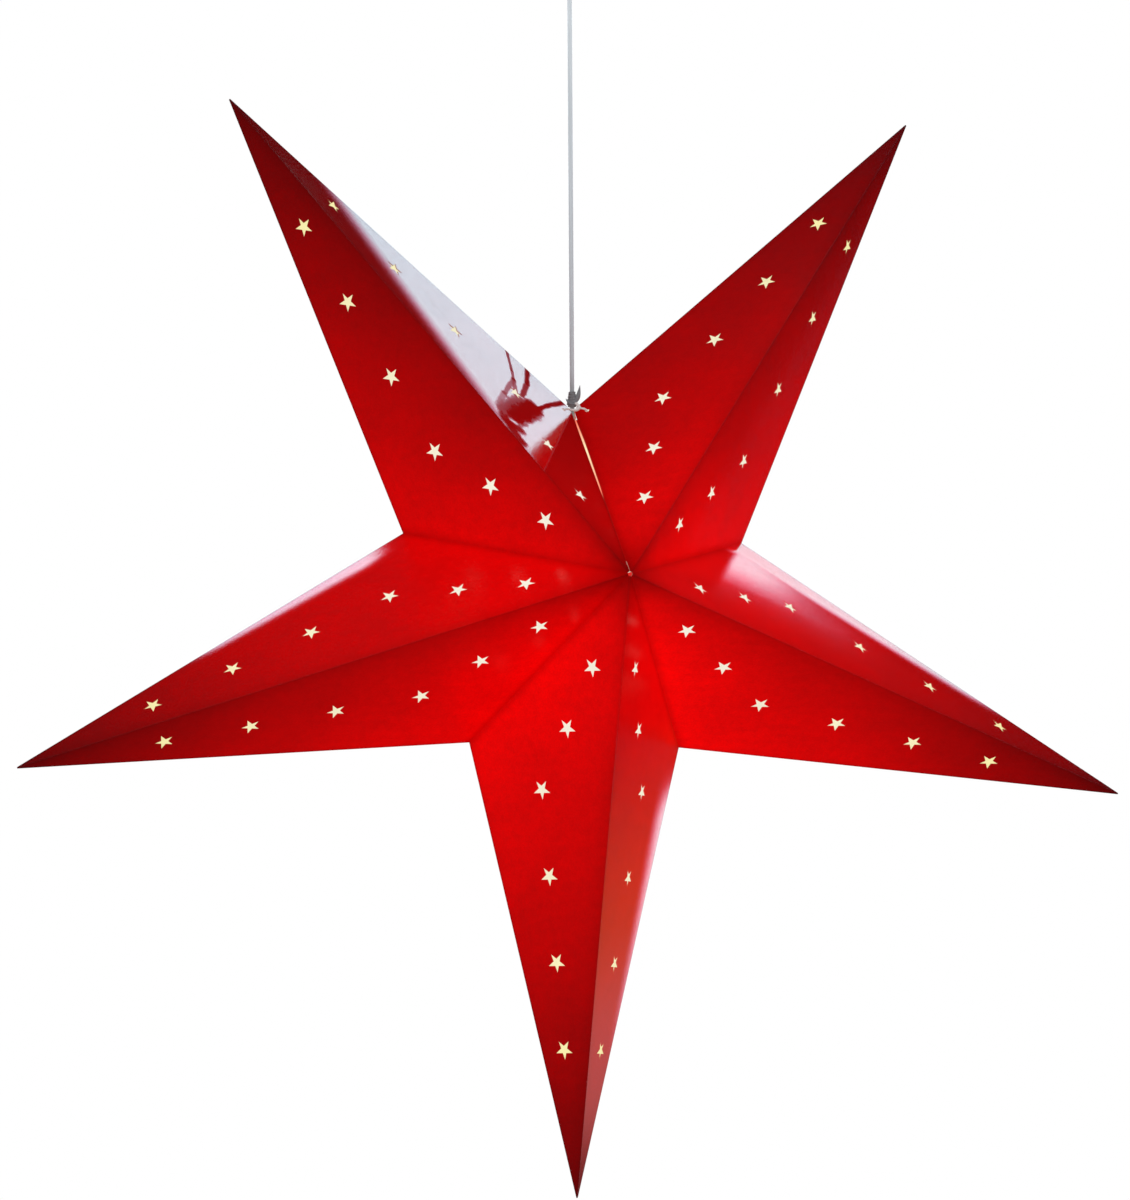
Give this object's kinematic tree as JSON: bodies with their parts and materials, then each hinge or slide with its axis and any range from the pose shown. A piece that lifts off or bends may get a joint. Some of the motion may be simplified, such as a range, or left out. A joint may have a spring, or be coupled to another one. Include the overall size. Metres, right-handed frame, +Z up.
{
  "type": "paper star lantern",
  "caption": "Hanging folded paper star lantern with star-shaped cut-outs, a lamp inside, a straight cord and a ceiling rose; its seam unties and the star folds flat.",
  "frame": {"origin": "centre of the two screw holes in the rose's base plate, on the ceiling, on the cord's line", "axes": "+Z up towards the ceiling; -Y out of the star's pierced front; +X to the right seen from the front"},
  "size_m": [0.568, 0.1928, 0.6705],
  "materials": {
    "red_paper": "coated, satin",
    "cream_liner": "translucent, glowing",
    "cord_sheath": "matte",
    "string_cotton": "matte",
    "white_plastic": "satin",
    "terminal_plastic": "satin",
    "screw_steel": "satin",
    "core_insulation": "satin",
    "holder_plastic": "satin",
    "socket_brass": "bright",
    "lamp_cap_metal": "satin",
    "lamp_collar_plastic": "gloss",
    "lamp_diffuser": "frosted, lit",
    "led_board_white": "matte"
  },
  "bodies": {
    "rose_base": {"rose_base_plate": "white_plastic", "terminal_block": "terminal_plastic", "terminal_screws": "screw_steel", "cord_cores": "core_insulation"},
    "rose_cover": {"rose_cover": "white_plastic", "cord_grip": "white_plastic", "grip_nut": "white_plastic", "cord_tail": "cord_sheath"},
    "cord": {"hanging_cord": "cord_sheath", "lampholder_cap": "holder_plastic", "lampholder_shell": "holder_plastic", "socket_sleeve": "socket_brass", "socket_contact": "socket_brass"},
    "lamp": {"lamp_base": "lamp_cap_metal", "lamp_collar": "lamp_collar_plastic", "lamp_globe": "lamp_diffuser", "led_board": "led_board_white"},
    "tie": {"tie_knot": "string_cotton"},
    "bottom_point_right_front": {"bottom_point_right_front_panel": "red_paper", "bottom_point_right_front_liner": "cream_liner"},
    "bottom_point_right_back": {"bottom_point_right_back_panel": "red_paper", "bottom_point_right_back_liner": "cream_liner"},
    "bottom_point_left_front": {"bottom_point_left_front_panel": "red_paper", "bottom_point_left_front_liner": "cream_liner"},
    "bottom_point_left_back": {"bottom_point_left_back_panel": "red_paper", "bottom_point_left_back_liner": "cream_liner"},
    "right_point_upper_front": {"right_point_upper_front_panel": "red_paper", "right_point_upper_front_liner": "cream_liner"},
    "right_point_upper_back": {"right_point_upper_back_panel": "red_paper", "right_point_upper_back_liner": "cream_liner"},
    "right_point_lower_front": {"right_point_lower_front_panel": "red_paper", "right_point_lower_front_liner": "cream_liner"},
    "right_point_lower_back": {"right_point_lower_back_panel": "red_paper", "right_point_lower_back_liner": "cream_liner"},
    "upper_right_point_left_front": {"upper_right_point_left_front_panel": "red_paper", "upper_right_point_left_front_liner": "cream_liner", "right_tie_string": "string_cotton"},
    "upper_right_point_left_back": {"upper_right_point_left_back_panel": "red_paper", "upper_right_point_left_back_liner": "cream_liner"},
    "upper_right_point_right_front": {"upper_right_point_right_front_panel": "red_paper", "upper_right_point_right_front_liner": "cream_liner"},
    "upper_right_point_right_back": {"upper_right_point_right_back_panel": "red_paper", "upper_right_point_right_back_liner": "cream_liner"},
    "upper_left_point_left_front": {"upper_left_point_left_front_panel": "red_paper", "upper_left_point_left_front_liner": "cream_liner"},
    "upper_left_point_left_back": {"upper_left_point_left_back_panel": "red_paper", "upper_left_point_left_back_liner": "cream_liner"},
    "upper_left_point_right_front": {"upper_left_point_right_front_panel": "red_paper", "upper_left_point_right_front_liner": "cream_liner", "left_tie_string": "string_cotton"},
    "upper_left_point_right_back": {"upper_left_point_right_back_panel": "red_paper", "upper_left_point_right_back_liner": "cream_liner"},
    "left_point_lower_front": {"left_point_lower_front_panel": "red_paper", "left_point_lower_front_liner": "cream_liner"},
    "left_point_lower_back": {"left_point_lower_back_panel": "red_paper", "left_point_lower_back_liner": "cream_liner"},
    "left_point_upper_front": {"left_point_upper_front_panel": "red_paper", "left_point_upper_front_liner": "cream_liner"},
    "left_point_upper_back": {"left_point_upper_back_panel": "red_paper", "left_point_upper_back_liner": "cream_liner"}
  },
  "joints": [
    {"name": "rose_cover_twist", "type": "hinge", "parent": "rose_base", "child": "rose_cover", "pos_m": [0, 0, -0.02], "axis": [0, 0, 1], "range_deg": [0, 30]},
    {"name": "cord_swing", "type": "hinge", "parent": "rose_cover", "child": "cord", "pos_m": [0, 0, -0.041], "axis": [0, 1, 0], "range_deg": [-20, 20]},
    {"name": "star_turn", "type": "hinge", "parent": "cord", "child": "tie", "pos_m": [0, 0, -0.277], "axis": [0, 0, 1], "continuous": true},
    {"name": "lamp_out", "type": "slide", "parent": "cord", "child": "lamp", "axis": [0, 0, -1], "range_m": [0, 0.022]},
    {"name": "star_fold", "type": "hinge", "parent": "tie", "child": "bottom_point_right_front", "pos_m": [0, -0.09632, -0.372], "axis": [0, -0.3077, 0.9515], "range_deg": [0, 32]},
    {"name": "bottom_ridge_left", "type": "hinge", "parent": "tie", "child": "bottom_point_left_front", "pos_m": [0, -0.09632, -0.372], "axis": [0, 0.3077, -0.9515], "range_deg": [0, 32.01]},
    {"name": "lower_right_valley", "type": "hinge", "parent": "bottom_point_right_front", "child": "right_point_lower_front", "pos_m": [0, -0.097, -0.372], "axis": [0.4045, 0.7256, -0.5567], "range_deg": [0, 99.21]},
    {"name": "right_ridge", "type": "hinge", "parent": "right_point_lower_front", "child": "right_point_upper_front", "pos_m": [0, -0.09632, -0.372], "axis": [-0.9049, -0.3077, 0.294], "range_deg": [0, 64.01]},
    {"name": "right_valley", "type": "hinge", "parent": "right_point_upper_front", "child": "upper_right_point_right_front", "pos_m": [0, -0.097, -0.372], "axis": [0.6545, 0.7256, 0.2127], "range_deg": [0, 99.21]},
    {"name": "upper_right_ridge", "type": "hinge", "parent": "upper_right_point_right_front", "child": "upper_right_point_left_front", "pos_m": [0, -0.09632, -0.372], "axis": [-0.5593, -0.3077, -0.7698], "range_deg": [0, 64.01]},
    {"name": "lower_left_valley", "type": "hinge", "parent": "bottom_point_left_front", "child": "left_point_lower_front", "pos_m": [0, -0.097, -0.372], "axis": [0.4045, -0.7256, 0.5567], "range_deg": [0, 99.21]},
    {"name": "left_ridge", "type": "hinge", "parent": "left_point_lower_front", "child": "left_point_upper_front", "pos_m": [0, -0.09632, -0.372], "axis": [-0.9049, 0.3077, -0.294], "range_deg": [0, 64.01]},
    {"name": "left_valley", "type": "hinge", "parent": "left_point_upper_front", "child": "upper_left_point_left_front", "pos_m": [0, -0.097, -0.372], "axis": [0.6545, -0.7256, -0.2127], "range_deg": [0, 99.21]},
    {"name": "upper_left_ridge", "type": "hinge", "parent": "upper_left_point_left_front", "child": "upper_left_point_right_front", "pos_m": [0, -0.09632, -0.372], "axis": [-0.5593, 0.3077, 0.7698], "range_deg": [0, 64.01]},
    {"name": "bottom_right_edge", "type": "hinge", "parent": "bottom_point_right_front", "child": "bottom_point_right_back", "pos_m": [0.05408, 0, -0.44643], "axis": [-0.2331, 0, -0.9724], "range_deg": [0, 62.73]},
    {"name": "bottom_left_edge", "type": "hinge", "parent": "bottom_point_left_front", "child": "bottom_point_left_back", "pos_m": [-0.05408, 0, -0.44643], "axis": [-0.2331, 0, 0.9724], "range_deg": [0, 62.73]},
    {"name": "right_upper_edge", "type": "hinge", "parent": "right_point_upper_front", "child": "right_point_upper_back", "pos_m": [0.0875, 0, -0.34357], "axis": [0.8528, 0, -0.5222], "range_deg": [0, 62.73]},
    {"name": "right_lower_edge", "type": "hinge", "parent": "right_point_lower_front", "child": "right_point_lower_back", "pos_m": [0.05408, 0, -0.44643], "axis": [-0.9969, 0, 0.0788], "range_deg": [0, 62.73]},
    {"name": "upper_right_left_edge", "type": "hinge", "parent": "upper_right_point_left_front", "child": "upper_right_point_left_back", "pos_m": [0, 0, -0.28], "axis": [0.7602, 0, 0.6497], "range_deg": [0, 62.73]},
    {"name": "upper_right_right_edge", "type": "hinge", "parent": "upper_right_point_right_front", "child": "upper_right_point_right_back", "pos_m": [0.0875, 0, -0.34357], "axis": [-0.383, 0, -0.9238], "range_deg": [0, 62.73]},
    {"name": "upper_left_left_edge", "type": "hinge", "parent": "upper_left_point_left_front", "child": "upper_left_point_left_back", "pos_m": [-0.0875, 0, -0.34357], "axis": [-0.383, 0, 0.9238], "range_deg": [0, 62.73]},
    {"name": "upper_left_right_edge", "type": "hinge", "parent": "upper_left_point_right_front", "child": "upper_left_point_right_back", "pos_m": [0, 0, -0.28], "axis": [0.7602, 0, -0.6497], "range_deg": [0, 62.73]},
    {"name": "left_lower_edge", "type": "hinge", "parent": "left_point_lower_front", "child": "left_point_lower_back", "pos_m": [-0.05408, 0, -0.44643], "axis": [-0.9969, 0, -0.0788], "range_deg": [0, 62.73]},
    {"name": "left_upper_edge", "type": "hinge", "parent": "left_point_upper_front", "child": "left_point_upper_back", "pos_m": [-0.0875, 0, -0.34357], "axis": [0.8528, 0, 0.5222], "range_deg": [0, 62.73]}
  ],
  "couplings": [
    {"joint": "bottom_ridge_left", "follows": "star_fold", "ratio": 1},
    {"joint": "lower_right_valley", "follows": "star_fold", "ratio": 3.1},
    {"joint": "right_ridge", "follows": "star_fold", "ratio": 2},
    {"joint": "right_valley", "follows": "star_fold", "ratio": 3.1},
    {"joint": "upper_right_ridge", "follows": "star_fold", "ratio": 2},
    {"joint": "lower_left_valley", "follows": "star_fold", "ratio": 3.1},
    {"joint": "left_ridge", "follows": "star_fold", "ratio": 2},
    {"joint": "left_valley", "follows": "star_fold", "ratio": 3.1},
    {"joint": "upper_left_ridge", "follows": "star_fold", "ratio": 2},
    {"joint": "bottom_right_edge", "follows": "star_fold", "ratio": 1.96},
    {"joint": "bottom_left_edge", "follows": "star_fold", "ratio": 1.96},
    {"joint": "right_upper_edge", "follows": "star_fold", "ratio": 1.96},
    {"joint": "right_lower_edge", "follows": "star_fold", "ratio": 1.96},
    {"joint": "upper_right_left_edge", "follows": "star_fold", "ratio": 1.96},
    {"joint": "upper_right_right_edge", "follows": "star_fold", "ratio": 1.96},
    {"joint": "upper_left_left_edge", "follows": "star_fold", "ratio": 1.96},
    {"joint": "upper_left_right_edge", "follows": "star_fold", "ratio": 1.96},
    {"joint": "left_lower_edge", "follows": "star_fold", "ratio": 1.96},
    {"joint": "left_upper_edge", "follows": "star_fold", "ratio": 1.96}
  ]
}
